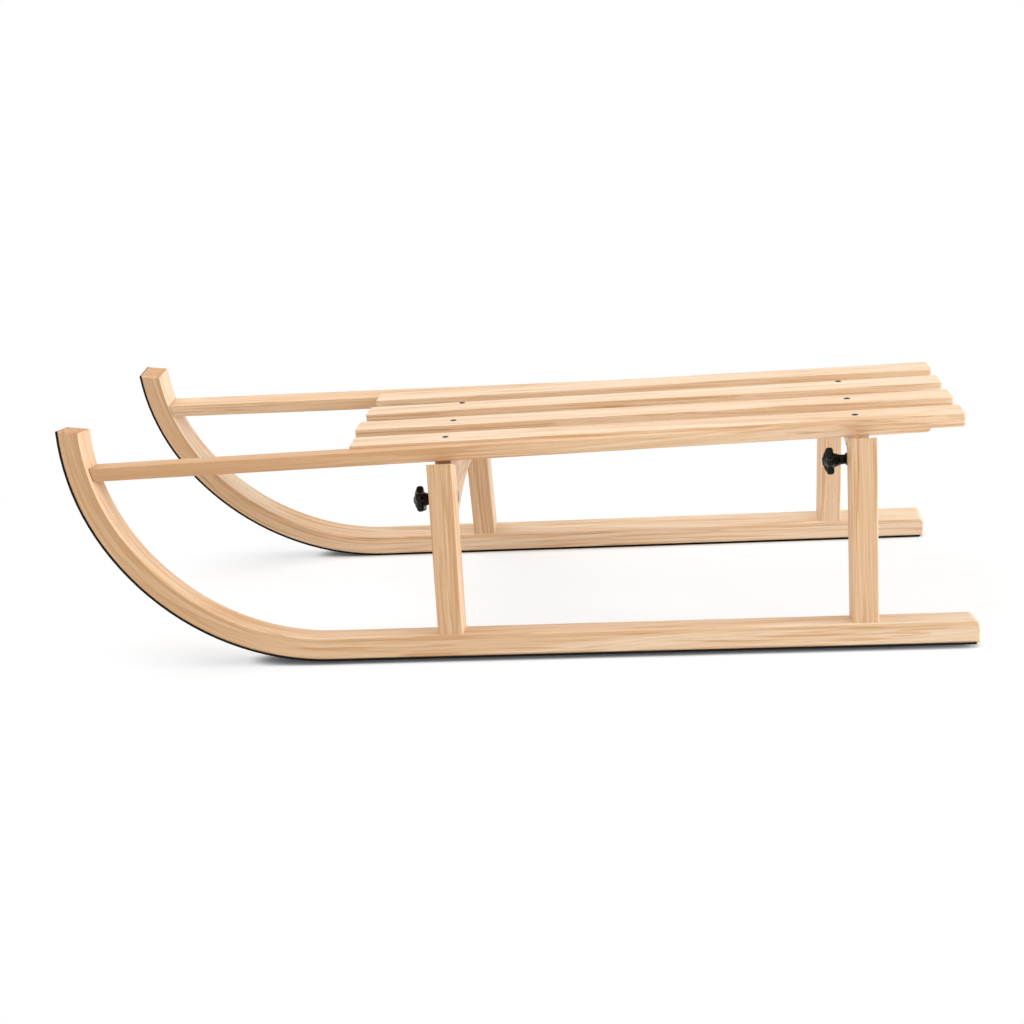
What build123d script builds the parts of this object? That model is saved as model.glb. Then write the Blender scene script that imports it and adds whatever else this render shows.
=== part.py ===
"""Folding wooden sled: a slatted seat on two arched cross boards, with a runner frame
hinged under each side on star-knob bolts.

Millimetres. +X forward, +Y to the sled's left, +Z up. The origin is on the floor under
the middle of the sled.
"""
import os
from math import asin, atan2, cos, degrees, radians, sin, tan

from build123d import *

os.makedirs("parts", exist_ok=True)

# Whole sled
LENGTH = 1000.0  # tail of the runners to the front of their tips
STANCE = 381.1  # across the outer lower edges of the runners
SPLAY = 7.5  # lean of a side frame towards the middle, degrees

# Runners and their glide strips, seen from the side
RUNNER_W = 34.0
RUNNER_H = 25.0
STRIP_T = 2.0
STRIP_INSET = 0.4  # strip edge back from the runner's face
STRIP_TAIL = 4.0  # bare wood behind the strip
STRIP_ROUND = 1.4  # rear lower edge and front edge of the tip
BEND_R = 296.5  # first bend of the gliding line
BEND_ANGLE = 58.0
TIP_R = 254.5  # tighter second bend, up to the tip
TIP_ANGLE = 32.0
TIP_CUT = 7.0  # the tip end falls towards the rear by this more than square, degrees
TAIL_ROUND = 8.0
RUNNER_EDGE = 1.6

# Legs
LEG_W = 28.0  # along the sled
LEG_T = 31.0
LEG_BACK = 1.5  # outer face back from the runner's outer face
LEG_EDGE = 1.2
LEG_TOP_BEVEL = 20.0  # top cut falls towards the middle, degrees
FRONT_LEG_X = 572.5  # middle of the leg, from the tail
REAR_LEG_X = 120.0
FRONT_LEG_TOP = 219.0  # outer top edge above the gliding line
REAR_LEG_TOP = 228.0

# Seat slats
DECK_TAIL_Z = 241.5  # top of the slats, carried on to the runners' tail
DECK_PITCH = 0.62  # the seat falls towards the front, degrees
SEAT_IN = 70.95  # edge of the seat, in from the runner's outer lower edge
SLAT_W = 37.0
SLAT_T = 15.0
SLAT_COUNT = 4
SLAT_TAIL = 8.2  # rear ends, from the tail
SLAT_L = 677.8
SLAT_CORNER = 3.0
SLAT_EDGE = 1.2

# Side rails, from the runner tips back under the outer slats
RAIL_T = 29.0
RAIL_H = 15.5
RAIL_ROLL = 5.8  # the top falls towards the middle, degrees
RAIL_IN = 3.2  # outer top edge at the runner tip, in from the runner's outer face
RAIL_PROUD = 0.9  # outer top edge at the rear end, out from the edge of the seat
RAIL_RISE = 0.7  # outer top edge at the tip, above the line of the slat tops
RAIL_DROP = 4.4  # outer top edge at the rear end, below the slat tops
RAIL_TAIL = 44.0  # rear end, from the tail
RAIL_END_R = 5.0
RAIL_EDGE = 1.2
TIP_GAP = 1.0  # between rail end and runner

# Pivot line of a side frame, through its two bolts
BOLT_TO_LEG = 14.5  # rear bolt, level with it, to the leg's inner face
FRONT_PIVOT_Z = 169.5  # above the floor, at the front leg
REAR_PIVOT_Z = 196.0

# Cross boards
BOARD_T = 18.0
BOARD_BACK = 3.0  # rear face ahead of the leg's rear face
BOARD_GAP = 3.0  # board end to leg
ARCH_RISE = 17.0

# Hinge brackets
BRACKET_T = 2.0
BRACKET_H = 40.0
BRACKET_EYE_R = 9.0
BRACKET_PLAY = 0.3  # bracket to board

# Star knobs and bolts
BOLT_R = 3.0
BOLT_FIT = 0.05  # running clearance, radial
WASHER_R = 8.0
WASHER_T = 1.6
HUB_R = 5.5
HUB_L = 16.0
STAR_T = 12.0
STAR_R = 15.5
STAR_LOBES = 5
LOBE_R = 5.0
STAR_EDGE = 2.0
NUT_ACROSS = 10.0
NUT_T = 5.0

# Frames of reference
TAIL_X = -LENGTH / 2
LEAN = radians(SPLAY)
FLAT = LENGTH - BEND_R * sin(radians(BEND_ANGLE)) - TIP_R * (
    1 - sin(radians(BEND_ANGLE))
)
# Side plane of the left frame: x forward from the tail, y up along the legs, z inward.
# The sled stands on the inner lower edges of its strips.
STAND_Z = (RUNNER_W - STRIP_INSET) * sin(LEAN)
SIDE = Plane(
    origin=(TAIL_X, STANCE / 2, STAND_Z),
    x_dir=(1, 0, 0),
    z_dir=(0, -cos(LEAN), -sin(LEAN)),
)
PITCH = radians(DECK_PITCH)
# Deck plane: x forward from the tail, y to the left, on the tops of the slats
DECK = Plane(
    origin=(TAIL_X, 0, DECK_TAIL_Z),
    x_dir=(cos(PITCH), 0, -sin(PITCH)),
    z_dir=(sin(PITCH), 0, cos(PITCH)),
)
UNDER_SLATS = DECK.offset(-SLAT_T)
RUNNER_TOP = STRIP_T + RUNNER_H
ACROSS = Axis((0, 0, 0), SIDE.z_dir)
UPWARD = Axis((0, 0, 0), SIDE.y_dir)


def deck_z(x):
    """Height of the slat tops at a distance x from the tail."""
    return DECK_TAIL_Z - x * tan(PITCH)


def side_y(depth, z):
    """Distance from the middle plane to a face that lies a depth inside the runner's
    outer face, at a height."""
    up = (z - STAND_Z + depth * sin(LEAN)) / cos(LEAN)
    return STANCE / 2 - depth * cos(LEAN) - up * sin(LEAN)


def leg_inner(z):
    """Distance from the middle plane to a leg's inner face at a height."""
    return side_y(LEG_BACK + LEG_T, z)


# Seat edge, pivot line and rails keep their distances from the side frames
SEAT_EDGE = STANCE / 2 - SEAT_IN
SLAT_PITCH = (2 * SEAT_EDGE - SLAT_W) / (SLAT_COUNT - 1)
PIVOT_Y = leg_inner(REAR_PIVOT_Z) - BOLT_TO_LEG
RAIL_FRONT_Y = side_y(0, deck_z(LENGTH) + RAIL_RISE) - RAIL_IN
RAIL_REAR_Y = SEAT_EDGE + RAIL_PROUD

# Pivot line, pointing forward
PIVOT_RUN = FRONT_LEG_X - REAR_LEG_X
PIVOT_TILT = atan2(FRONT_PIVOT_Z - REAR_PIVOT_Z, PIVOT_RUN)
PIVOT_DIR = Vector(cos(PIVOT_TILT), 0, sin(PIVOT_TILT))
PIVOT_REAR = Vector(TAIL_X + REAR_LEG_X, PIVOT_Y, REAR_PIVOT_Z)


def gliding_line(rise, tail):
    """Line along a runner, at a height above its gliding line. Gives its two ends."""
    flat = Line((tail, rise), (FLAT, rise))
    bend = JernArc(flat @ 1, flat % 1, BEND_R - rise, BEND_ANGLE)
    short = degrees(rise * tan(radians(TIP_CUT)) / (TIP_R - rise))
    tip = JernArc(bend @ 1, bend % 1, TIP_R - rise, TIP_ANGLE - short)
    return flat @ 0, tip @ 1


# Runner: one bent bar, square at the tip and rounded at the tail
with BuildPart() as runner:
    with BuildSketch(SIDE):
        with BuildLine():
            low_a, low_b = gliding_line(STRIP_T, 0)
            high_a, high_b = gliding_line(RUNNER_TOP, 0)
            Line(low_a, high_a)
            Line(low_b, high_b)
        make_face()
    extrude(amount=RUNNER_W)
    tail_end = runner.faces().sort_by(Axis.X)[0]
    fillet(tail_end.edges().filter_by(ACROSS).sort_by(Axis.Z)[-1], TAIL_ROUND)
    cheeks = runner.faces().filter_by(ACROSS)
    chamfer(cheeks.edges(), RUNNER_EDGE)
runner.part.label = "runner"

# Glide strip under the runner and up the front of its tip
with BuildPart() as strip:
    with BuildSketch(SIDE.offset(STRIP_INSET)):
        with BuildLine():
            low_a, low_b = gliding_line(0, STRIP_TAIL)
            high_a, high_b = gliding_line(STRIP_T, STRIP_TAIL)
            Line(low_a, high_a)
            Line(low_b, high_b)
        make_face()
    extrude(amount=RUNNER_W - 2 * STRIP_INSET)
    tail_end = strip.faces().sort_by(Axis.X)[0]
    tip_end = strip.faces().sort_by(Axis.Z)[-1]
    ends = [
        tail_end.edges().filter_by(ACROSS).sort_by(Axis.Z)[0],
        tip_end.edges().filter_by(ACROSS).sort_by(Axis.X)[-1],
    ]
    fillet(ends, STRIP_ROUND)
strip.part.label = "strip"

# Legs stand square on the runner, with a bevelled top under the seat
LEG_FACE = SIDE.offset(LEG_BACK)


def bevel_plane(top):
    """Plane of a leg's top cut, through its outer top edge."""
    edge = LEG_FACE.from_local_coords(Vector(0, top, 0))
    fall = radians(LEG_TOP_BEVEL)
    return Plane(origin=edge, x_dir=(1, 0, 0), z_dir=(0, -sin(fall), cos(fall)))


# name, middle of the leg from the tail, outer top edge above the gliding line
LEGS = [
    ("front_leg", FRONT_LEG_X, FRONT_LEG_TOP),
    ("rear_leg", REAR_LEG_X, REAR_LEG_TOP),
]
legs = {}
for leg_name, leg_x, leg_top in LEGS:
    with BuildPart() as leg:
        with BuildSketch(LEG_FACE):
            with Locations((leg_x, RUNNER_TOP)):
                Rectangle(LEG_W, leg_top - RUNNER_TOP, align=(Align.CENTER, Align.MIN))
        extrude(amount=LEG_T)
        chamfer(leg.edges().filter_by(UPWARD), LEG_EDGE)
        split(bisect_by=bevel_plane(leg_top), keep=Keep.BOTTOM)
    legs[leg_name] = leg

# Side rail: straight bar from the runner tip back in under the outer slat
# Outer face of the left rail: x forward along it from its rear end, y up, z inward
rail_rear = DECK.from_local_coords(Vector(RAIL_TAIL, RAIL_REAR_Y, -RAIL_DROP))
rail_front = DECK.from_local_coords(Vector(LENGTH, RAIL_FRONT_Y, RAIL_RISE))
rail_along = (rail_front - rail_rear).normalized()
rail_level = rail_along.cross(DECK.z_dir).normalized()
rail_roll = radians(RAIL_ROLL)
RAIL_FACE = Plane(
    origin=rail_rear,
    x_dir=rail_along,
    z_dir=rail_level * cos(rail_roll) - rail_level.cross(rail_along) * sin(rail_roll),
)
# where the rail's middle meets the inner curve of the tip, in the side plane
tip_centre_x = FLAT + (BEND_R - TIP_R) * sin(radians(BEND_ANGLE))
tip_centre_y = BEND_R - (BEND_R - TIP_R) * cos(radians(BEND_ANGLE))
tip_inner_r = TIP_R - RUNNER_TOP
rail_mid_z = rail_front.Z - RAIL_H / 2 * cos(rail_roll) - RAIL_T / 2 * sin(rail_roll)
rail_mid_y = (rail_mid_z - STAND_Z + RUNNER_W / 2 * sin(LEAN)) / cos(LEAN)
seat_angle = asin((rail_mid_y - tip_centre_y) / tip_inner_r)
seat_r = tip_inner_r - TIP_GAP
rail_end_at = Vector(
    tip_centre_x + seat_r * cos(seat_angle), tip_centre_y + seat_r * sin(seat_angle), 0
)
RAIL_CUT = Plane(
    origin=SIDE.from_local_coords(rail_end_at),
    x_dir=SIDE.z_dir,
    z_dir=SIDE.x_dir * cos(seat_angle) + SIDE.y_dir * sin(seat_angle),
)
with BuildPart() as rail:
    with BuildSketch(RAIL_FACE) as rail_side:
        Rectangle(LENGTH - RAIL_TAIL, RAIL_H, align=(Align.MIN, Align.MAX))
        fillet(rail_side.vertices().sort_by(Axis.X)[:2].sort_by(Axis.Y)[0], RAIL_END_R)
    extrude(amount=RAIL_T)
    rail_cheeks = rail.faces().filter_by(Axis((0, 0, 0), RAIL_FACE.z_dir))
    chamfer(rail_cheeks.edges(), RAIL_EDGE)
    split(bisect_by=RAIL_CUT, keep=Keep.BOTTOM)
rail.part.label = "rail"
rail_right = mirror(rail.part, about=Plane.XZ, mode=Mode.PRIVATE)

# Slats: rounded in plan, the outer pair let over the rails
with BuildPart() as slats:
    with BuildSketch(DECK):
        with Locations((SLAT_TAIL + SLAT_L / 2, 0)):
            with GridLocations(0, SLAT_PITCH, 1, SLAT_COUNT):
                RectangleRounded(SLAT_L, SLAT_W, SLAT_CORNER)
    extrude(amount=-SLAT_T)
    chamfer(slats.faces().filter_by(Axis((0, 0, 0), DECK.z_dir)).edges(), SLAT_EDGE)
    add(rail.part, mode=Mode.SUBTRACT)
    add(rail_right, mode=Mode.SUBTRACT)
slats.part.label = "slats"

def pivot_at(along):
    """Point of the left pivot line at a distance along it from the rear leg."""
    return PIVOT_REAR + PIVOT_DIR * along


def across(point):
    """Plane square to the pivot line, x to the left and y up, z forward."""
    middle = Vector(point.X, 0, point.Z)
    return Plane(origin=middle, x_dir=(0, 1, 0), z_dir=PIVOT_DIR)


# Per leg pair: distance of the board's front face along the pivot line
board_ahead = BOARD_BACK - LEG_W / 2 + BOARD_T
STATIONS = {"front": PIVOT_RUN / cos(PIVOT_TILT) + board_ahead, "rear": board_ahead}
BOLT_BORE = BOLT_R + BOLT_FIT


def make_board(station):
    """One cross board, square to the pivot line, up to the undersides of the slats.

    Seen from the front its ends follow the legs, its lower corners go round the bolts
    and an arch runs smoothly from one corner to the other.
    """
    at = pivot_at(station)
    corner_r = (leg_inner(at.Z) - PIVOT_Y) * cos(LEAN) - BOARD_GAP
    end_top = DECK_TAIL_Z - at.Z
    end_low = (PIVOT_Y + corner_r * cos(LEAN), corner_r * sin(LEAN))
    end_high = (end_low[0] - (end_top - end_low[1]) * tan(LEAN), end_top)
    crown = ARCH_RISE - corner_r
    arch_r = (PIVOT_Y**2 + crown**2 - corner_r**2) / (2 * ARCH_RISE)
    # the corner and the arch touch on the line between their centres
    touch = atan2(PIVOT_Y, arch_r - crown)
    arch_foot = (PIVOT_Y - corner_r * sin(touch), -corner_r * cos(touch))
    with BuildPart() as board:
        with BuildSketch(across(at)):
            with BuildLine():
                end = Line(end_high, end_low)
                corner = RadiusArc(end @ 1, arch_foot, corner_r)
                arch = RadiusArc(corner @ 1, (0, crown), -arch_r)
                Line(arch @ 1, (0, end_top))
                Line((0, end_top), end_high)
            make_face()
            mirror(about=Plane.YZ)
        extrude(amount=-BOARD_T)
        split(bisect_by=UNDER_SLATS, keep=Keep.BOTTOM)
        with Locations(across(at)):
            with Locations((PIVOT_Y, 0), (-PIVOT_Y, 0)):
                Hole(BOLT_BORE)
        add(rail.part, mode=Mode.SUBTRACT)
        add(rail_right, mode=Mode.SUBTRACT)
    return board


front_board = make_board(STATIONS["front"])
front_board.part.label = "front_cross_board"
rear_board = make_board(STATIONS["rear"])
rear_board.part.label = "rear_cross_board"


def make_bracket(station):
    """Angle bracket: a leaf on the leg's inner face and an eye leaf on the bolt."""
    at = pivot_at(station + BRACKET_PLAY)
    front = across(at)
    gap = (leg_inner(at.Z) - PIVOT_Y) * cos(LEAN)
    leaf_l = LEG_W - BOARD_BACK - BOARD_T - LEG_EDGE
    with BuildPart() as bracket:
        # eye leaf, square to the bolt
        with BuildSketch(front):
            with Locations((PIVOT_Y, 0)):
                Circle(BRACKET_EYE_R)
            with Locations(Location((PIVOT_Y, 0), SPLAY)):
                Rectangle(gap, 2 * BRACKET_EYE_R, align=(Align.MIN, Align.CENTER))
        extrude(amount=BRACKET_T)
        with BuildSketch(front):
            with Locations(Location((PIVOT_Y, 0), SPLAY)):
                with Locations((gap - BRACKET_T, 0)):
                    Rectangle(BRACKET_T, BRACKET_H, align=(Align.MIN, Align.CENTER))
        extrude(amount=leaf_l)
        with Locations(front):
            with Locations((PIVOT_Y, 0)):
                Hole(BOLT_BORE)
    return bracket


brackets = [make_bracket(station) for station in STATIONS.values()]


def make_knob(station):
    """Star knob with its hub, bored for the bolt."""
    at = pivot_at(station + BRACKET_PLAY + BRACKET_T + WASHER_T)
    seat = across(at)
    star = seat.offset(HUB_L)
    lobe_at = STAR_R - LOBE_R
    with BuildPart() as knob:
        with BuildSketch(seat):
            with Locations((PIVOT_Y, 0)):
                Circle(HUB_R)
        extrude(amount=HUB_L)
        with BuildSketch(star):
            with Locations((PIVOT_Y, 0)):
                Circle(lobe_at)
                with PolarLocations(lobe_at, STAR_LOBES, start_angle=90):
                    Circle(LOBE_R)
        extrude(amount=STAR_T)
        chamfer(knob.faces().sort_by(Axis.X)[-1].edges(), STAR_EDGE)
        with BuildSketch(seat):
            with Locations((PIVOT_Y, 0)):
                Circle(BOLT_BORE)
        extrude(amount=HUB_L, mode=Mode.SUBTRACT)
    return knob


def make_bolt(station):
    """Bolt through knob, washer, bracket and board, with its washer and nut."""
    face = pivot_at(station)
    washer = across(pivot_at(station + BRACKET_PLAY + BRACKET_T))
    back = across(face).offset(-BOARD_T)
    grip = BOARD_T + BRACKET_PLAY + BRACKET_T + WASHER_T + HUB_L
    with BuildPart() as bolt:
        with BuildSketch(back.offset(-NUT_T)):
            with Locations((PIVOT_Y, 0)):
                Circle(BOLT_R)
        extrude(amount=NUT_T + grip)
        with BuildSketch(washer):
            with Locations((PIVOT_Y, 0)):
                Circle(WASHER_R)
        extrude(amount=WASHER_T)
        with BuildSketch(back):
            with Locations((PIVOT_Y, 0)):
                RegularPolygon(NUT_ACROSS / 2, 6, major_radius=False)
        extrude(amount=-NUT_T)
    return bolt


knobs = [make_knob(station) for station in STATIONS.values()]
bolts = [make_bolt(station) for station in STATIONS.values()]


def both_sides(pieces):
    """The left-hand pieces together with their mirror images."""
    with BuildPart() as pair:
        for piece in pieces:
            add(piece.part)
        mirror(about=Plane.XZ)
    return pair


star_knobs = both_sides(knobs)
star_knobs.part.label = "star_knobs"
pivot_bolts = both_sides(bolts)
pivot_bolts.part.label = "pivot_bolts"

# Seat
export_step(slats.part, "parts/seat_slats.step")
export_step(front_board.part, "parts/front_cross_board.step")
export_step(rear_board.part, "parts/rear_cross_board.step")
export_step(star_knobs.part, "parts/star_knobs.step")
export_step(pivot_bolts.part, "parts/pivot_bolts.step")
rail.part.label = "rail_left"
export_step(rail.part, "parts/rail_left.step")
rail_right.label = "rail_right"
export_step(rail_right, "parts/rail_right.step")

# Side frames: the left one as built, the right one its mirror image
with BuildPart() as bracket_pair:
    for bracket in brackets:
        add(bracket.part)
FRAME_PIECES = {
    "runner": runner,
    "glide_strip": strip,
    "front_leg": legs["front_leg"],
    "rear_leg": legs["rear_leg"],
    "hinge_brackets": bracket_pair,
}
for piece_name, piece in FRAME_PIECES.items():
    left = piece.part
    left.label = f"{piece_name}_left"
    export_step(left, f"parts/{piece_name}_left.step")
    with BuildPart() as other:
        add(mirror(piece.part, about=Plane.XZ, mode=Mode.PRIVATE))
    other.part.label = f"{piece_name}_right"
    export_step(other.part, f"parts/{piece_name}_right.step")
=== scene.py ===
"""Looks of the folding wooden sled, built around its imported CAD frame."""

from math import atan2, cos, pi, radians, sin

import bmesh
import bpy
from mathutils import Matrix, Vector


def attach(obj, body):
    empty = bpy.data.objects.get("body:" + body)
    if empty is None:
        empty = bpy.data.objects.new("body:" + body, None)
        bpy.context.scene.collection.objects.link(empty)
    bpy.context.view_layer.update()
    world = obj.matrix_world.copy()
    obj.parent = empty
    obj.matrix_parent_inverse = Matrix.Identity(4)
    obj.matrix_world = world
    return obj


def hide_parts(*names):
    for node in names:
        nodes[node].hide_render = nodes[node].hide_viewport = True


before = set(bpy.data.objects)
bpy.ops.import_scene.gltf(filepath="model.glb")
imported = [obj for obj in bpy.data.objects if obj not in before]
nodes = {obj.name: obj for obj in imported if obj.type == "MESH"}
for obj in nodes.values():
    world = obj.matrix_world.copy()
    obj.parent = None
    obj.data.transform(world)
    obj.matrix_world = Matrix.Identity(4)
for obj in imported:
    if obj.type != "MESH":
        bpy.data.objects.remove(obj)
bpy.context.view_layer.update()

# Sizes of the part, in metres
LENGTH = 1.0
TAIL_X = -LENGTH / 2
STANCE = 0.3811
LEAN = radians(7.5)
RUNNER_W, STRIP_INSET = 0.034, 0.0004
STAND_Z = (RUNNER_W - STRIP_INSET) * sin(LEAN)
RUNNER_TOP = 0.027
BEND_R, BEND_ANGLE = 0.2965, radians(58)
TIP_R, TIP_ANGLE = 0.2545, radians(32)
FLAT = LENGTH - BEND_R * sin(BEND_ANGLE) - TIP_R * (1 - sin(BEND_ANGLE))
RUNNER_LENGTH = FLAT + BEND_R * BEND_ANGLE + TIP_R * TIP_ANGLE
DECK_TAIL_Z, PITCH = 0.2415, radians(0.62)
SLAT_PITCH = 0.0674
SLAT_TAIL, SLAT_W, SLAT_T = 0.0082, 0.037, 0.015
SLAT_CORNER, SLAT_EDGE = 0.003, 0.0012
SLAT_LENGTHS = (0.6778, 0.6778, 0.6778, 0.6708)  # from the right; the left one is shorter
RAIL_T, RAIL_H = 0.029, 0.0155
RAIL_HEEL, RAIL_EDGE = 0.005, 0.0012  # roundings of the rear end's foot and of the long edges
RAIL_REAR = Vector((-0.45605, 0.1151, 0.23662))  # outer top edge, inside the edge of the seat
RAIL_FRONT = Vector((0.49995, 0.15747, 0.23138))
RAIL_ROLL = radians(5.8)
RAIL_CUT_AT = Vector((0.46593, 0.16155, 0.22465))  # end face against the runner tip
RAIL_CUT_NORMAL = Vector((0.97321, 0.03001, -0.22796))
PIVOT_Y = 0.118043  # bolts from the middle plane
REAR_BOLT = Vector((TAIL_X + 0.120, 0, 0.196))
FRONT_BOLT = Vector((TAIL_X + 0.5725, 0, 0.1695))
PIVOT_DIR = (FRONT_BOLT - REAR_BOLT).normalized()
BOARD_AHEAD = 0.007  # board's front face ahead of the middle of the leg
BOARD_T = 0.018
WASHER_FOOT, WASHER_TOP = 0.0023, 0.0039  # ahead of the board's front face
KNOB_AHEAD = BOARD_AHEAD + WASHER_TOP  # foot of a knob's hub
BOLT_R, WASHER_R, NUT_R = 0.003, 0.008, 0.0075
HUB_L, HUB_R = 0.016, 0.0055
STAR_T, STAR_R, STAR_WAIST, STAR_LOBES = 0.012, 0.0155, 0.0112, 5
STAR_RIM = 0.0082  # thickness of the lobes, before the dome
STAR_ROUND = 0.0029  # rounding of the lobes
# share of the ring before it, and rise, of each ring of the dome
DOME_STEPS = ((0.88, 0.0009), (0.80, 0.0010), (0.68, 0.0008), (0.5, 0.0004))
SCREW_R, SCREW_SUNK, SCREW_PROUD = 0.0035, 0.0006, 0.0004
SCREW_LINES = (0.122, 0.572)  # screws in the slats, from the tail
# screws through the slats into the cross boards, by slat from the right: off its middle line
SCREW_OFF = {1: -0.0135, 2: -0.001, 3: 0.001}


# Node helpers


def join(tree, source, socket):
    """Gives a socket a number, a colour, or another node's output."""
    if isinstance(source, bpy.types.NodeSocket):
        tree.links.new(source, socket)
    else:
        socket.default_value = source


def sums(tree, operation, a, b=0.0, clamp=False):
    node = tree.nodes.new("ShaderNodeMath")
    node.operation, node.use_clamp = operation, clamp
    join(tree, a, node.inputs[0])
    join(tree, b, node.inputs[1])
    return node.outputs[0]


def vectors(tree, operation, a, b=(0, 0, 0)):
    node = tree.nodes.new("ShaderNodeVectorMath")
    node.operation = operation
    join(tree, a, node.inputs[0])
    join(tree, b, node.inputs[1])
    return node.outputs["Value" if operation in ("LENGTH", "DOT_PRODUCT") else "Vector"]


def turned(tree, where, turn=(0, 0, 0), move=(0, 0, 0), stretch=(1, 1, 1), kind="POINT"):
    node = tree.nodes.new("ShaderNodeMapping")
    node.vector_type = kind
    join(tree, where, node.inputs["Vector"])
    if kind == "POINT":
        node.inputs["Location"].default_value = move
    node.inputs["Rotation"].default_value = turn
    node.inputs["Scale"].default_value = stretch
    return node.outputs[0]


def noise(tree, where, detail=2.0, rough=0.5, scale=1.0):
    node = tree.nodes.new("ShaderNodeTexNoise")
    join(tree, where, node.inputs["Vector"])
    node.inputs["Scale"].default_value = scale
    node.inputs["Detail"].default_value = detail
    node.inputs["Roughness"].default_value = rough
    return node


def between(tree, value, low, high, to_low=0.0, to_high=1.0):
    node = tree.nodes.new("ShaderNodeMapRange")
    node.interpolation_type = "SMOOTHSTEP"
    for socket, source in zip(node.inputs, (value, low, high, to_low, to_high)):
        join(tree, source, socket)
    return node.outputs[0]


def shades(tree, value, stops):
    """Colours along a value, as (place, linear colour) stops."""
    node = tree.nodes.new("ShaderNodeValToRGB")
    join(tree, value, node.inputs[0])
    ramp = node.color_ramp
    while len(ramp.elements) < len(stops):
        ramp.elements.new(0.5)
    for element, (place, colour) in zip(ramp.elements, stops):
        element.position, element.color = place, (*colour, 1)
    return node.outputs[0]


def blended(tree, share, a, b, kind="MIX"):
    node = tree.nodes.new("ShaderNodeMix")
    node.data_type, node.blend_type = "RGBA", kind
    join(tree, share, node.inputs[0])
    join(tree, a if isinstance(a, bpy.types.NodeSocket) else (*a, 1), node.inputs[6])
    join(tree, b if isinstance(b, bpy.types.NodeSocket) else (*b, 1), node.inputs[7])
    return node.outputs[2]


def fresh(name):
    """A new material with its tree, its shader and its object coordinates."""
    finish = bpy.data.materials.new(name)
    finish.use_nodes = True
    tree = finish.node_tree
    shader = tree.nodes["Principled BSDF"]
    place = tree.nodes.new("ShaderNodeTexCoord")
    return finish, tree, shader, place


def bumped(tree, shader, height, strength, distance):
    """Gives a shader a fine relief."""
    bump = tree.nodes.new("ShaderNodeBump")
    bump.inputs["Strength"].default_value = strength
    bump.inputs["Distance"].default_value = distance
    join(tree, height, bump.inputs["Height"])
    join(tree, bump.outputs[0], shader.inputs["Normal"])


def axes_turn(along, up):
    """Mapping turn that lays the pattern's X along a direction and its Z near another."""
    x = Vector(along).normalized()
    y = Vector(up).cross(x).normalized()
    return Matrix((x, y, x.cross(y))).to_euler()


# Beech: growth layers round an axis beside the piece, fibres, flecks and brown streaks

PALE_BEECH = (0.84, 0.66, 0.48)
MID_BEECH = (0.745, 0.495, 0.295)
DARK_BEECH = (0.585, 0.33, 0.155)
BROWN_STREAK = (0.33, 0.16, 0.065)
LAYER_SHARE, LINE_SHARE, FIBRE_SHARE, PATCH_SHARE, RING_SHARE = 0.55, 0.29, 0.50, 0.30, 0.10
FLECK_SHARE, STREAK_SHARE = 0.20, 0.55
FIGURE_MIDDLE = 0.17
TOP_LAYER, TOP_LAYER_TONE = 0.0058, 0.17  # darker layer on top of a runner
# Painted light: tone that makes faces towards the tail paler
REAR_FACE_PAINTED_LIGHT = -0.36
# Painted shade: tone that makes the slats' sides darker than their tops
SLAT_SIDE_PAINTED_SHADE = 0.13
SLAT_TONES = (-0.15, -0.07)
# Painted shade and light: the left rail, runner and legs are made darker and the right ones paler;
# the rails are made paler towards the rear
RAIL_TONE, RAIL_LEFT_PAINTED_SHADE, RAIL_REAR_PAINTED_LIGHT = 0.23, 0.15, 0.0
RUNNER_TONE, RUNNER_LEFT_PAINTED_SHADE = -0.04, 0.06
LEG_LEFT_PAINTED_SHADE, BOARD_TONE = 0.09, -0.02
LEGS = (("front", 11.4, 0.20), ("rear", 14.9, 0.04))  # place of its grain, tone
BOARDS = (("front", 17.7), ("rear", 19.3))  # place of its grain
# Painted light and shade: the runners are made paler at the tails and darker at the tips
TAIL_PAINTED_LIGHT, TIP_PAINTED_SHADE = -0.14, 0.32  # the runners run from pale tails to darker tips


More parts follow.
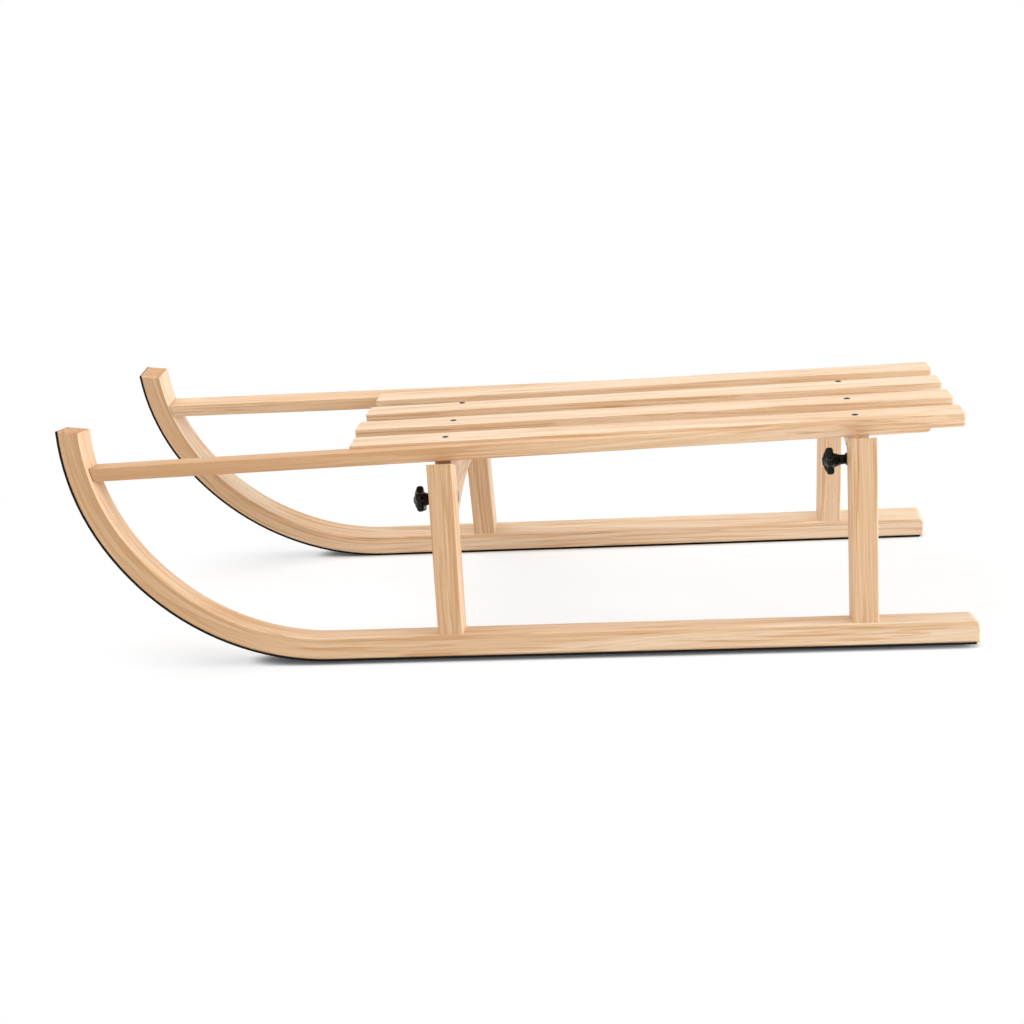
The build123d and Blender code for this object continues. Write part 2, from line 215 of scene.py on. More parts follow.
def beech_figure(tree, shader, grain, ends, tone):
    """Beech on coordinates whose X runs along the grain; ends is 1 on end grain."""
    drift = noise(tree, turned(tree, grain, stretch=(2.2, 13, 13)), detail=2.0)
    drift = vectors(tree, "SUBTRACT", drift.outputs["Color"], (0.5, 0.5, 0.5))
    drift = vectors(tree, "MULTIPLY", drift, (0.0, 0.016, 0.016))
    layered = vectors(tree, "ADD", grain, drift)
    layered = vectors(tree, "MULTIPLY", layered, (0.02, 1, 1))
    depth = vectors(tree, "LENGTH", layered)
    layers = tree.nodes.new("ShaderNodeTexNoise")
    layers.noise_dimensions = "1D"
    join(tree, sums(tree, "MULTIPLY", depth, 260.0), layers.inputs["W"])
    layers.inputs["Scale"].default_value = 1.0
    layers.inputs["Detail"].default_value = 3.0
    layers.inputs["Roughness"].default_value = 0.62
    rings = sums(tree, "FRACT", sums(tree, "MULTIPLY", depth, 420.0))
    rings = sums(tree, "POWER", rings, 2.5)
    fibres = noise(tree, turned(tree, grain, stretch=(14, 820, 820)), 3.0, 0.6)
    patches = noise(tree, turned(tree, grain, stretch=(3.1, 21, 21)), 2.0)
    flecks = noise(tree, turned(tree, grain, stretch=(190, 1500, 1500)), 1.0)
    flecks = between(tree, flecks.outputs[0], 0.63, 0.72)
    streaks = noise(tree, turned(tree, grain, stretch=(7.5, 190, 190)), 2.0, 0.55)
    streaks = between(tree, streaks.outputs[0], 0.63, 0.76)
    lines = noise(tree, turned(tree, layered, stretch=(250, 330, 330)), 2.0, 0.6)
    lines = between(tree, lines.outputs[0], 0.53, 0.63)
    figure = sums(tree, "SUBTRACT", tone, FIGURE_MIDDLE)
    for pattern, share in (
        (layers.outputs[0], LAYER_SHARE),
        (lines, LINE_SHARE),
        (fibres.outputs[0], FIBRE_SHARE),
        (patches.outputs[0], PATCH_SHARE),
        (rings, RING_SHARE),
    ):
        figure = sums(tree, "ADD", figure, sums(tree, "MULTIPLY", pattern, share))
    colour = shades(
        tree, figure, [(0.32, PALE_BEECH), (0.62, MID_BEECH), (0.98, DARK_BEECH)]
    )
    colour = blended(tree, sums(tree, "MULTIPLY", flecks, FLECK_SHARE), colour, BROWN_STREAK)
    colour = blended(tree, sums(tree, "MULTIPLY", streaks, STREAK_SHARE), colour, BROWN_STREAK)
    pores = noise(tree, turned(tree, grain, stretch=(0, 2600, 2600)), 1.0)
    pores = between(tree, pores.outputs[0], 0.48, 0.66)
    cut = blended(tree, pores, (0.90, 0.86, 0.83), (0.70, 0.62, 0.56))
    cut = blended(tree, rings, cut, (0.80, 0.72, 0.66))
    sawn = blended(tree, 1.0, colour, cut, "MULTIPLY")
    colour = blended(tree, ends, colour, sawn)
    join(tree, colour, shader.inputs["Base Color"])

    sheen = between(tree, fibres.outputs[0], 0.25, 0.75, 0.44, 0.58)
    sheen = sums(tree, "ADD", sheen, sums(tree, "MULTIPLY", ends, 0.15))
    join(tree, sheen, shader.inputs["Roughness"])
    relief = sums(tree, "MULTIPLY", fibres.outputs[0], 0.6)
    relief = sums(tree, "SUBTRACT", relief, sums(tree, "MULTIPLY", flecks, 0.3))
    bumped(tree, shader, relief, 0.35, 0.00025)
    shader.inputs["IOR"].default_value = 1.45


def paint_rear_face_light(tree, place, tone, start):
    """Tone of a piece with painted light: its faces towards the tail are made paler, as if lit more
    strongly from behind.
    """
    split = tree.nodes.new("ShaderNodeSeparateXYZ")
    join(tree, place.outputs["Normal"], split.inputs[0])
    back = between(tree, split.outputs[0], start, start - 0.35, 0.0, REAR_FACE_PAINTED_LIGHT)
    return sums(tree, "ADD", back, tone)


def straight_beech(name, along, up, heart, tone=0.0, rear_face_painted_light=False, rear_painted_light=None):
    """Beech for a straight bar. heart is the growth axis beside it, in grain axes."""
    finish, tree, shader, place = fresh(name)
    turn = axes_turn(along, up)
    grain = turned(tree, place.outputs["Object"], turn, heart)
    facing = turned(tree, place.outputs["Normal"], turn, kind="NORMAL")
    split = tree.nodes.new("ShaderNodeSeparateXYZ")
    join(tree, facing, split.inputs[0])
    ends = between(tree, sums(tree, "ABSOLUTE", split.outputs[0]), 0.75, 0.93)
    # painted light: faces towards the tail are made paler
    tone = paint_rear_face_light(tree, place, tone, -0.5) if rear_face_painted_light else tone
    # painted light: the bar is made paler towards the rear
    if rear_painted_light is not None:
        length = tree.nodes.new("ShaderNodeSeparateXYZ")
        join(tree, place.outputs["Object"], length.inputs[0])
        tone = between(tree, length.outputs[0], -0.30, 0.28, rear_painted_light, tone)
    beech_figure(tree, shader, grain, ends, tone)
    return finish


def slat_beech():
    """Beech for the four slats, each from its own plank."""
    finish, tree, shader, place = fresh("slat_beech")
    split = tree.nodes.new("ShaderNodeSeparateXYZ")
    join(tree, place.outputs["Object"], split.inputs[0])
    plank = sums(tree, "MULTIPLY", split.outputs[1], 1 / SLAT_PITCH)
    plank = sums(tree, "FLOOR", sums(tree, "ADD", plank, 2.0))
    steps = tree.nodes.new("ShaderNodeCombineXYZ")
    join(tree, sums(tree, "MULTIPLY", plank, 1.37), steps.inputs[0])
    join(tree, sums(tree, "MULTIPLY", plank, -0.083), steps.inputs[1])
    join(tree, sums(tree, "MULTIPLY", plank, 0.019), steps.inputs[2])
    grain = vectors(tree, "ADD", place.outputs["Object"], steps.outputs[0])
    grain = turned(tree, grain, move=(3.1, 0.16, -0.155))
    own = tree.nodes.new("ShaderNodeTexWhiteNoise")
    own.noise_dimensions = "1D"
    join(tree, plank, own.inputs["W"])
    tone = between(tree, own.outputs["Value"], 0.0, 1.0, *SLAT_TONES)
    normal = tree.nodes.new("ShaderNodeSeparateXYZ")
    join(tree, place.outputs["Normal"], normal.inputs[0])
    ends = between(tree, sums(tree, "ABSOLUTE", normal.outputs[0]), 0.75, 0.93)
    # painted shade: the slats' sides are made darker than their tops
    edges = between(tree, sums(tree, "ABSOLUTE", normal.outputs[1]), 0.4, 0.8, 0.0, SLAT_SIDE_PAINTED_SHADE)
    beech_figure(tree, shader, grain, ends, sums(tree, "ADD", tone, edges))
    return finish


def along_runner(tree, place, side):
    """Distance along a runner, height in it, and both with the depth across it as one vector."""
    up = Vector((0, -side * sin(LEAN), cos(LEAN)))
    x = Vector((1, 0, 0))
    rows = Matrix((x, up, x.cross(up)))
    foot = Vector((TAIL_X, side * STANCE / 2, STAND_Z))
    local = turned(tree, place, rows.to_euler(), -(rows @ foot))
    split = tree.nodes.new("ShaderNodeSeparateXYZ")
    join(tree, local, split.inputs[0])
    run, rise, depth = split.outputs

    def round_about(centre_x, centre_y, ahead):
        x = sums(tree, "SUBTRACT", run, centre_x)
        x = sums(tree, "MAXIMUM", x, 0.0) if ahead else x
        y = sums(tree, "SUBTRACT", centre_y, rise)
        swing = sums(tree, "ARCTAN2", x, y)
        reach = sums(tree, "MULTIPLY", x, x)
        reach = sums(tree, "ADD", reach, sums(tree, "MULTIPLY", y, y))
        return swing, sums(tree, "SQRT", reach)

    swing, reach = round_about(FLAT, BEND_R, True)
    along = sums(tree, "MINIMUM", run, FLAT)
    along = sums(tree, "ADD", along, sums(tree, "MULTIPLY", swing, BEND_R))
    height = sums(tree, "SUBTRACT", BEND_R, reach)
    tip_x = FLAT + (BEND_R - TIP_R) * sin(BEND_ANGLE)
    tip_y = BEND_R - (BEND_R - TIP_R) * cos(BEND_ANGLE)
    tip_swing, tip_reach = round_about(tip_x, tip_y, False)
    tip_swing = sums(tree, "SUBTRACT", tip_swing, BEND_ANGLE)
    tip_along = sums(tree, "MULTIPLY", tip_swing, TIP_R)
    tip_along = sums(tree, "ADD", tip_along, FLAT + BEND_R * BEND_ANGLE)
    tip_height = sums(tree, "SUBTRACT", TIP_R, tip_reach)
    on_tip = sums(tree, "GREATER_THAN", swing, BEND_ANGLE)
    off_tip = sums(tree, "SUBTRACT", 1.0, on_tip)

    def either(a, b):
        a = sums(tree, "MULTIPLY", a, off_tip)
        return sums(tree, "ADD", a, sums(tree, "MULTIPLY", b, on_tip))

    along, height = either(along, tip_along), either(height, tip_height)
    bent = tree.nodes.new("ShaderNodeCombineXYZ")
    for source, socket in zip((along, height, depth), bent.inputs):
        join(tree, source, socket)
    return along, height, bent.outputs[0]


def bent_beech(name, side, heart, tone):
    """Beech whose grain follows the bend of a runner."""
    finish, tree, shader, place = fresh(name)
    along, height, bent = along_runner(tree, place.outputs["Object"], side)
    grain = turned(tree, bent, move=heart)
    normal = tree.nodes.new("ShaderNodeSeparateXYZ")
    join(tree, place.outputs["Normal"], normal.inputs[0])
    tip = sums(tree, "GREATER_THAN", along, RUNNER_LENGTH - 0.007)
    tip = sums(tree, "MULTIPLY", tip, sums(tree, "GREATER_THAN", normal.outputs[2], 0.75))
    tail = sums(tree, "LESS_THAN", along, 0.009)
    tail = sums(tree, "MULTIPLY", tail, sums(tree, "LESS_THAN", normal.outputs[0], -0.8))
    # painted shade towards the tip and painted light towards the tail
    tip_painted_shade = between(tree, along, FLAT - 0.1, FLAT + 0.30, tone, tone + TIP_PAINTED_SHADE)
    tone = between(tree, along, 0.0, 0.5, TAIL_PAINTED_LIGHT, 0.0)
    tone = sums(tree, "ADD", tone, tip_painted_shade)
    layer = sums(tree, "GREATER_THAN", height, RUNNER_TOP - TOP_LAYER)
    layer = sums(tree, "MULTIPLY", layer, sums(tree, "LESS_THAN", height, RUNNER_TOP - 0.0014))
    tone = sums(tree, "ADD", tone, sums(tree, "MULTIPLY", layer, TOP_LAYER_TONE))
    # painted light: faces towards the tail are made paler
    tone = paint_rear_face_light(tree, place, tone, -0.35)
    beech_figure(tree, shader, grain, sums(tree, "ADD", tip, tail, clamp=True), tone)
    return finish


# Black finishes


def glide_strip_black(name, side):
    """Matt black strip with fine rub marks along the runner."""
    finish, tree, shader, place = fresh(name)
    _, _, bent = along_runner(tree, place.outputs["Object"], side)
    rubs = noise(tree, turned(tree, bent, stretch=(9, 900, 900)), 3.0, 0.6)
    cloud = noise(tree, bent, 3.0, scale=60.0)
    colour = shades(
        tree, rubs.outputs[0], [(0.3, (0.004, 0.004, 0.004)), (0.8, (0.010, 0.010, 0.011))]
    )
    join(tree, colour, shader.inputs["Base Color"])
    rough = sums(tree, "MULTIPLY", cloud.outputs[0], 0.16)
    rough = sums(tree, "ADD", rough, sums(tree, "MULTIPLY", rubs.outputs[0], 0.16))
    join(tree, sums(tree, "ADD", rough, 0.40), shader.inputs["Roughness"])
    shader.inputs["Specular IOR Level"].default_value = 0.10
    bumped(tree, shader, rubs.outputs[0], 0.25, 0.0002)
    return finish


def moulded_black():
    """Black moulded plastic of the knobs, finely spark-textured."""
    finish, tree, shader, place = fresh("moulded_black")
    spark = noise(tree, place.outputs["Object"], 2.0, scale=2400.0)
    cloud = noise(tree, place.outputs["Object"], 2.0, scale=130.0)
    colour = shades(
        tree, cloud.outputs[0], [(0.3, (0.003, 0.003, 0.003)), (0.75, (0.008, 0.008, 0.008))]
    )
    join(tree, colour, shader.inputs["Base Color"])
    rough = sums(tree, "MULTIPLY", cloud.outputs[0], 0.14)
    join(tree, sums(tree, "ADD", rough, 0.16), shader.inputs["Roughness"])
    shader.inputs["Specular IOR Level"].default_value = 0.18
    bumped(tree, shader, spark.outputs[0], 0.12, 0.0001)
    return finish


def black_zinc():
    """Black zinc-plated steel, with the plating's faint clouding."""
    finish, tree, shader, place = fresh("black_zinc")
    cloud = noise(tree, place.outputs["Object"], 4.0, 0.6, scale=190.0)
    grit = noise(tree, place.outputs["Object"], 2.0, scale=3000.0)
    colour = shades(
        tree, cloud.outputs[0], [(0.25, (0.010, 0.010, 0.011)), (0.8, (0.040, 0.038, 0.037))]
    )
    join(tree, colour, shader.inputs["Base Color"])
    shader.inputs["Metallic"].default_value = 0.85
    rough = sums(tree, "MULTIPLY", cloud.outputs[0], 0.3)
    join(tree, sums(tree, "ADD", rough, 0.2), shader.inputs["Roughness"])
    bumped(tree, shader, grit.outputs[0], 0.1, 0.0001)
    return finish


knob_black = moulded_black()
fastener_black = black_zinc()


def wear(node, finish):
    """Gives a CAD node its finish."""
    slots = nodes[node].data.materials
    slots.clear()
    slots.append(finish)


LEG_UP = {side: (0, -side * sin(LEAN), cos(LEAN)) for side in (1, -1)}
for name, side in (("left", 1), ("right", -1)):
    wear(
        f"runner_{name}",
        bent_beech(
            f"runner_beech_{name}",
            side,
            (8.3 + side, 0.041, 0.02 * side),
            # painted shade: the left runner is made darker, the right one paler
            RUNNER_TONE + RUNNER_LEFT_PAINTED_SHADE * side,
        ),
    )
    for leg, place, tone in LEGS:
        wear(
            f"{leg}_leg_{name}",
            straight_beech(
                f"{leg}_leg_beech_{name}",
                LEG_UP[side],
                (1, 0, 0),
                (place + side, side * 0.21, 0.06),
                # painted shade: the left legs are made darker, the right ones paler
                tone + LEG_LEFT_PAINTED_SHADE * side,
                # painted light: the legs' faces towards the tail are made paler
                rear_face_painted_light=True,
            ),
        )
    wear(f"glide_strip_{name}", glide_strip_black(f"glide_strip_black_{name}", side))
    wear(f"hinge_brackets_{name}", fastener_black)
for board, place in BOARDS:
    wear(
        f"{board}_cross_board",
        straight_beech(
            f"{board}_board_beech", (0, 1, 0), (0, 0, 1), (place, 0.06, -0.11), BOARD_TONE
        ),
    )


# New pieces


def as_mesh(name, bm):
    """Makes a finished bmesh into a mesh."""
    bmesh.ops.recalc_face_normals(bm, faces=bm.faces[:])
    mesh = bpy.data.meshes.new(name)
    bm.to_mesh(mesh)
    bm.free()
    return mesh


def piece(name, bm, finish, body):
    """Makes a finished bmesh into a piece that rides on a body."""
    mesh = as_mesh(name, bm)
    made = bpy.data.objects.new(name, mesh)
    bpy.context.scene.collection.objects.link(made)
    mesh.materials.append(finish)
    for face in mesh.polygons:
        face.use_smooth = True
    mesh.set_sharp_from_angle(angle=radians(38))
    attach(made, body)
    return made


def add_copy(bm, shape, matrix):
    """Adds a copy of a mesh at a placing matrix."""
    before = set(bm.verts)
    bm.from_mesh(shape)
    bmesh.ops.transform(bm, matrix=matrix, verts=[v for v in bm.verts if v not in before])


def copies(shape, places):
    """One bmesh with a copy of a mesh at each placing matrix."""
    bm = bmesh.new()
    for matrix in places:
        add_copy(bm, shape, matrix)
    return bm


def facing(point, normal, turn=0.0):
    """Placing matrix with Z along a normal, turned about it."""
    matrix = Vector(normal).to_track_quat("Z", "Y").to_matrix().to_4x4()
    return Matrix.Translation(point) @ matrix @ Matrix.Rotation(turn, 4, "Z")


def rim_edges(bm, height):
    """Edges that lie flat at a height."""
    return [e for e in bm.edges if all(abs(v.co.z - height) < 1e-6 for v in e.verts)]


def rounded(bm, edges, size, steps):
    bmesh.ops.bevel(
        bm,
        geom=edges,
        offset=size,
        segments=steps,
        profile=0.5,
        affect="EDGES",
        material=-1,
    )


def round_bar(bm, low, high, foot, top, edge):
    """Adds a round bar up Z with eased ends, tapering from one radius to another."""
    cone = bmesh.ops.create_cone(
        bm,
        cap_ends=True,
        segments=48,
        radius1=foot,
        radius2=top,
        depth=high - low,
        matrix=Matrix.Translation((0, 0, (low + high) / 2)),
    )
    ends = set(cone["verts"])
    rims = [
        e
        for e in bm.edges
        if e.verts[0] in ends
        and e.verts[1] in ends
        and abs(e.verts[0].co.z - e.verts[1].co.z) < 1e-6
    ]
    rounded(bm, rims, edge, 3)


def wood_bar(length, width, height):
    """A square-edged bar round the origin, its length along X."""
    bm = bmesh.new()
    bmesh.ops.create_cube(bm, size=1.0)
    bmesh.ops.scale(bm, vec=(length, width, height), verts=bm.verts[:])
    return bm


def edges_along(bm, axis):
    """Edges that run along one axis."""
    return [e for e in bm.edges if abs((e.verts[1].co - e.verts[0].co).normalized()[axis]) > 0.99]


def slat(length):
    """Slat with its rear end, top and middle line at the origin."""
    bm = wood_bar(length, SLAT_W, SLAT_T)
    rounded(bm, edges_along(bm, 2), SLAT_CORNER, 4)
    rounded(bm, rim_edges(bm, SLAT_T / 2) + rim_edges(bm, -SLAT_T / 2), SLAT_EDGE, 2)
    bmesh.ops.translate(bm, verts=bm.verts[:], vec=(length / 2, 0, -SLAT_T / 2))
    return as_mesh("slat", bm)


deck = Matrix.Translation((TAIL_X, 0, DECK_TAIL_Z)) @ Matrix.Rotation(PITCH, 4, "Y")
bm = bmesh.new()
for number, length in enumerate(SLAT_LENGTHS):
    at = deck @ Matrix.Translation((SLAT_TAIL, (number - 1.5) * SLAT_PITCH, 0))
    add_copy(bm, slat(length), at)
slats = piece("seat_slat_set", bm, slat_beech(), "seat")
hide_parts("seat_slats")


def side_rail(side):
    """Rail from the runner tip back into the outer slat, its rear end rounded below."""
    length = (RAIL_FRONT - RAIL_REAR).length
    bm = wood_bar(length, RAIL_T, RAIL_H)
    bmesh.ops.translate(bm, verts=bm.verts[:], vec=(length / 2, -RAIL_T / 2, -RAIL_H / 2))
    heel = [e for e in edges_along(bm, 1) if all(v.co.x < 1e-6 and v.co.z < -1e-6 for v in e.verts)]
    rounded(bm, heel, RAIL_HEEL, 6)
    rounded(bm, edges_along(bm, 0), RAIL_EDGE, 2)
    along = (RAIL_FRONT - RAIL_REAR).normalized()
    level = Vector((sin(PITCH), 0, cos(PITCH))).cross(along).normalized()
    out = level * cos(RAIL_ROLL) + along.cross(level) * sin(RAIL_ROLL)
    turn = Matrix((along, out, along.cross(out))).transposed().to_4x4()
    bmesh.ops.transform(bm, matrix=Matrix.Translation(RAIL_REAR) @ turn, verts=bm.verts[:])
    bmesh.ops.bisect_plane(
        bm,
        geom=bm.verts[:] + bm.edges[:] + bm.faces[:],
        plane_co=RAIL_CUT_AT,
        plane_no=RAIL_CUT_NORMAL,
        clear_outer=True,
    )
    bmesh.ops.holes_fill(bm, edges=[e for e in bm.edges if e.is_boundary], sides=0)
    bmesh.ops.scale(bm, vec=(1, side, 1), verts=bm.verts[:])
    return bm


for name, side in (("left", 1), ("right", -1)):
    run = (RAIL_FRONT - RAIL_REAR).normalized() * Vector((1, side, 1))
    rail_beech = straight_beech(
        f"rail_beech_{name}",
        run,
        (0, 0, 1),
        (5.2 + side, -0.06, -0.13),
        # painted shade: the left rail is made darker, the right one paler; painted light towards
        # the rear
        RAIL_TONE + RAIL_LEFT_PAINTED_SHADE * side,
        rear_painted_light=RAIL_REAR_PAINTED_LIGHT,
    )
    rail = piece(f"side_rail_{name}", side_rail(side), rail_beech, "seat")
    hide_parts(f"rail_{name}")


def star_knob():
    """Star knob on its hub, hub foot at the origin and the axis up Z."""
    bm = bmesh.new()
    bmesh.ops.create_circle(bm, cap_ends=True, segments=120, radius=1.0)
    for v in bm.verts:
        swing = atan2(v.co.y, v.co.x)
        lobe = (0.5 + 0.5 * cos(STAR_LOBES * (swing - pi / 2))) ** 0.85
        v.co.xy *= STAR_WAIST + (STAR_R - STAR_WAIST) * lobe
        v.co.z = HUB_L
    grown = bmesh.ops.extrude_face_region(bm, geom=bm.faces[:])
    top = [g for g in grown["geom"] if isinstance(g, bmesh.types.BMVert)]
    bmesh.ops.translate(bm, verts=top, vec=(0, 0, STAR_RIM))
    rims = rim_edges(bm, HUB_L + STAR_RIM) + rim_edges(bm, HUB_L)
    rounded(bm, rims, STAR_ROUND, 5)
    for share, rise in DOME_STEPS:
        face = max(bm.faces, key=lambda f: (len(f.verts), f.calc_center_median().z))
        grown = bmesh.ops.extrude_discrete_faces(bm, faces=[face])
        ring = grown["faces"][0].verts[:]
        bmesh.ops.scale(bm, vec=(share, share, 1), verts=ring)
        bmesh.ops.translate(bm, verts=ring, vec=(0, 0, rise))
    for low, high, foot, top_r, edge in (
        (HUB_L + STAR_T - 0.004, HUB_L + STAR_T, 0.0050, 0.0044, 0.0009),
        (0.0085, HUB_L + 0.0012, HUB_R, 0.0087, 0.0004),
        (0.0028, 0.0100, 0.0052, HUB_R, 0.0004),
        (0.0, 0.0032, 0.0071, 0.0067, 0.0006),
    ):
        round_bar(bm, low, high, foot, top_r, edge)
    return as_mesh("star_knob", bm)


knob_places, bolt_places = [], []
for foot in (REAR_BOLT, FRONT_BOLT):
    for side, turn in ((1, 0.2), (-1, -0.5)):
        bolt = foot + Vector((0, side * PIVOT_Y, 0))
        knob_places.append(facing(bolt + PIVOT_DIR * KNOB_AHEAD, PIVOT_DIR, turn + foot.x))
        bolt_places.append(facing(bolt + PIVOT_DIR * BOARD_AHEAD, PIVOT_DIR))
knobs = piece("star_knob_set", copies(star_knob(), knob_places), knob_black, "seat")
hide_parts("star_knobs")


def pivot_bolt():
    """Bolt shank with its washer under the knob and a flush flanged nut behind the board.

    The origin is on the board's front face and the axis runs up Z.
    """
    bm = bmesh.new()
    for low, high, foot, top_r, edge in (
        (-BOARD_T, WASHER_TOP + 0.012, BOLT_R, BOLT_R, 0.0004),
        (WASHER_FOOT, WASHER_TOP, WASHER_R, WASHER_R, 0.0004),
        (-BOARD_T - 0.0004, -BOARD_T + 0.0010, NUT_R, NUT_R, 0.0003),
    ):
        round_bar(bm, low, high, foot, top_r, edge)
    return as_mesh("pivot_bolt", bm)


bolts = piece("pivot_bolt_set", copies(pivot_bolt(), bolt_places), fastener_black, "seat")
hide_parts("pivot_bolts")


def screw_head(radius):
    """Countersunk screw head with a cross recess, its face just proud of the wood."""
    bm = bmesh.new()
    bmesh.ops.create_circle(bm, cap_ends=True, segments=40, radius=radius)
    bmesh.ops.translate(bm, verts=bm.verts[:], vec=(0, 0, -SCREW_SUNK))
    grown = bmesh.ops.extrude_face_region(bm, geom=bm.faces[:])
    top = [g for g in grown["geom"] if isinstance(g, bmesh.types.BMVert)]
    bmesh.ops.translate(bm, verts=top, vec=(0, 0, SCREW_SUNK + SCREW_PROUD))
    rounded(bm, rim_edges(bm, SCREW_PROUD), 0.00022, 2)
    head = bpy.data.objects.new("screw_head", as_mesh("screw_head", bm))
    bpy.context.scene.collection.objects.link(head)

    bm = bmesh.new()
    bmesh.ops.create_cube(bm, size=1.0)
    arm = radius * 0.26
    bmesh.ops.scale(bm, vec=(arm, arm, 0.0012), verts=bm.verts[:])
    for direction in ((1, 0, 0), (-1, 0, 0), (0, 1, 0), (0, -1, 0)):
        side = max(bm.faces, key=lambda f: f.calc_center_median().dot(Vector(direction)))
        grown = bmesh.ops.extrude_discrete_faces(bm, faces=[side])
        move = Vector(direction) * radius * 0.42
        bmesh.ops.translate(bm, verts=grown["faces"][0].verts[:], vec=move)
    bmesh.ops.translate(bm, verts=bm.verts[:], vec=(0, 0, 0.0007))
    cross = bpy.data.objects.new("screw_cross", as_mesh("screw_cross", bm))
    bpy.context.scene.collection.objects.link(cross)

    cut = head.modifiers.new("recess", "BOOLEAN")
    cut.operation, cut.object, cut.solver = "DIFFERENCE", cross, "EXACT"
    bpy.context.view_layer.update()
    ready = head.evaluated_get(bpy.context.evaluated_depsgraph_get())
    mesh = bpy.data.meshes.new_from_object(ready)
    for scrap in (head, cross):
        bpy.data.objects.remove(scrap)
    return mesh


slat_screw = screw_head(SCREW_R)
deck_normal = (sin(PITCH), 0, cos(PITCH))
slat_places = []
for number, back in enumerate(SCREW_LINES):
    for row, off in SCREW_OFF.items():
        y = (row - 1.5) * SLAT_PITCH + off
        at = (TAIL_X + back * cos(PITCH), y, DECK_TAIL_Z - back * sin(PITCH))
        slat_places.append(facing(at, deck_normal, 0.7 * row + 1.3 * number))
piece("slat_screws", copies(slat_screw, slat_places), fastener_black, "seat")


# Stage


def seen_ray(tree):
    """1 for camera, glossy and transmission rays."""
    path = tree.nodes.new("ShaderNodeLightPath")
    seen = sums(tree, "ADD", path.outputs["Is Camera Ray"], path.outputs["Is Glossy Ray"])
    return sums(tree, "ADD", seen, path.outputs["Is Transmission Ray"], clamp=True)


def white_floor():
    """White floor. It stays plain close to whatever stands on it, so the shadow is kept there,
    and is lifted to white away from the sled."""
    bm = bmesh.new()
    bmesh.ops.create_grid(bm, x_segments=1, y_segments=1, size=20.0)
    bmesh.ops.translate(bm, verts=bm.verts[:], vec=(0, 0, -0.0003))
    mesh = bpy.data.meshes.new("floor")
    bm.to_mesh(mesh)
    bm.free()
    floor = bpy.data.objects.new("floor", mesh)
    bpy.context.scene.collection.objects.link(floor)
    finish = bpy.data.materials.new("white_floor")
    finish.use_nodes = True
    tree = finish.node_tree
    tree.nodes.remove(tree.nodes["Principled BSDF"])
    out = tree.nodes["Material Output"]
    place = tree.nodes.new("ShaderNodeTexCoord")
    nearby = tree.nodes.new("ShaderNodeAmbientOcclusion")
    nearby.samples = 16
    nearby.inputs["Distance"].default_value = 0.022
    open_floor = between(tree, nearby.outputs["AO"], 0.15, 0.92)
    spread = vectors(tree, "MULTIPLY", place.outputs["Object"], (0.8, 1.0, 0.0))
    away = between(tree, vectors(tree, "LENGTH", spread), 0.35, 0.85)
    bounce = tree.nodes.new("ShaderNodeBsdfDiffuse")
    bounce.inputs["Color"].default_value = (0.90, 0.90, 0.90, 1)
    shown = tree.nodes.new("ShaderNodeBsdfDiffuse")
    join(tree, blended(tree, open_floor, (0.85, 0.85, 0.86), (0.34, 0.34, 0.34)), shown.inputs[0])
    lift = tree.nodes.new("ShaderNodeEmission")
    join(tree, between(tree, open_floor, 0.0, 1.0, 0.02, 0.66), lift.inputs["Strength"])
    lifted = tree.nodes.new("ShaderNodeAddShader")
    tree.links.new(shown.outputs[0], lifted.inputs[0])
    tree.links.new(lift.outputs[0], lifted.inputs[1])
    plain = tree.nodes.new("ShaderNodeEmission")
    far = tree.nodes.new("ShaderNodeMixShader")
    tree.links.new(away, far.inputs[0])
    tree.links.new(lifted.outputs[0], far.inputs[1])
    tree.links.new(plain.outputs[0], far.inputs[2])
    mix = tree.nodes.new("ShaderNodeMixShader")
    tree.links.new(seen_ray(tree), mix.inputs[0])
    tree.links.new(bounce.outputs[0], mix.inputs[1])
    tree.links.new(far.outputs[0], mix.inputs[2])
    tree.links.new(mix.outputs[0], out.inputs[0])
    mesh.materials.append(finish)


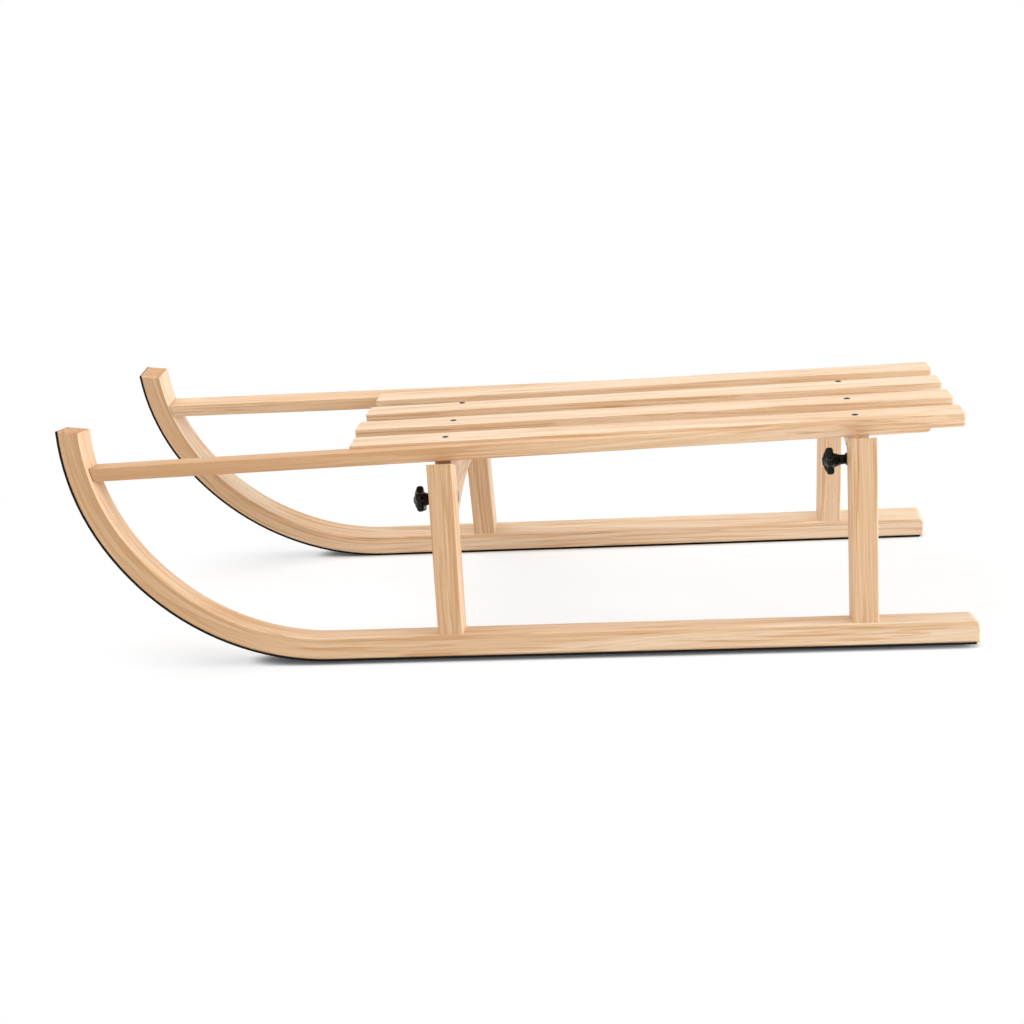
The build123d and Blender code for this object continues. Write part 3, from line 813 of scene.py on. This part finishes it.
def white_world(ambient):
    world = bpy.data.worlds.new("studio")
    world.use_nodes = True
    tree = world.node_tree
    lit = tree.nodes["Background"]
    lit.inputs["Color"].default_value = (1, 1, 1, 1)
    lit.inputs["Strength"].default_value = ambient
    backdrop = tree.nodes.new("ShaderNodeBackground")
    backdrop.inputs["Color"].default_value = (1, 1, 1, 1)
    mix = tree.nodes.new("ShaderNodeMixShader")
    tree.links.new(seen_ray(tree), mix.inputs[0])
    tree.links.new(lit.outputs[0], mix.inputs[1])
    tree.links.new(backdrop.outputs[0], mix.inputs[2])
    tree.links.new(mix.outputs[0], tree.nodes["World Output"].inputs[0])
    bpy.context.scene.world = world


def soft_light(name, at, towards, size, power):
    lamp = bpy.data.lights.new(name, "AREA")
    lamp.shape, lamp.size, lamp.energy = "DISK", size, power
    made = bpy.data.objects.new(name, lamp)
    made.location = at
    made.rotation_euler = (Vector(towards) - Vector(at)).to_track_quat("-Z", "Y").to_euler()
    bpy.context.scene.collection.objects.link(made)


white_floor()
white_world(0.55)
soft_light("rear", (-6.0, 0.8, 2.2), (0, 0, 0.1), 3.5, 235)
soft_light("side", (-1.6, 1.3, 0.9), (-0.35, 0, 0.1), 0.9, 8)
soft_light("top", (0.9, -0.2, 2.3), (0.1, 0, 0.1), 2.0, 31)
soft_light("fill", (0.5, 2.4, 0.3), (0, -0.1, 0.1), 1.2, 2.5)

# Camera, fitted to the photograph
lens = bpy.data.cameras.new("camera")
lens.sensor_width, lens.lens = 36.0, 50.32
lens.clip_start, lens.clip_end = 0.05, 60.0
camera = bpy.data.objects.new("camera", lens)
columns = (
    Vector((-0.9931, -0.0927, -0.0714)),
    Vector((-0.0374, -0.3271, 0.9442)),
    Vector((-0.1109, 0.9404, 0.3214)),
)
camera.matrix_world = (
    Matrix.Translation((-0.1768, 1.6307, 0.6659)) @ Matrix(columns).transposed().to_4x4()
)
bpy.context.scene.collection.objects.link(camera)
bpy.context.scene.camera = camera
bpy.context.scene.view_settings.view_transform = "Standard"

bpy.context.view_layer.update()
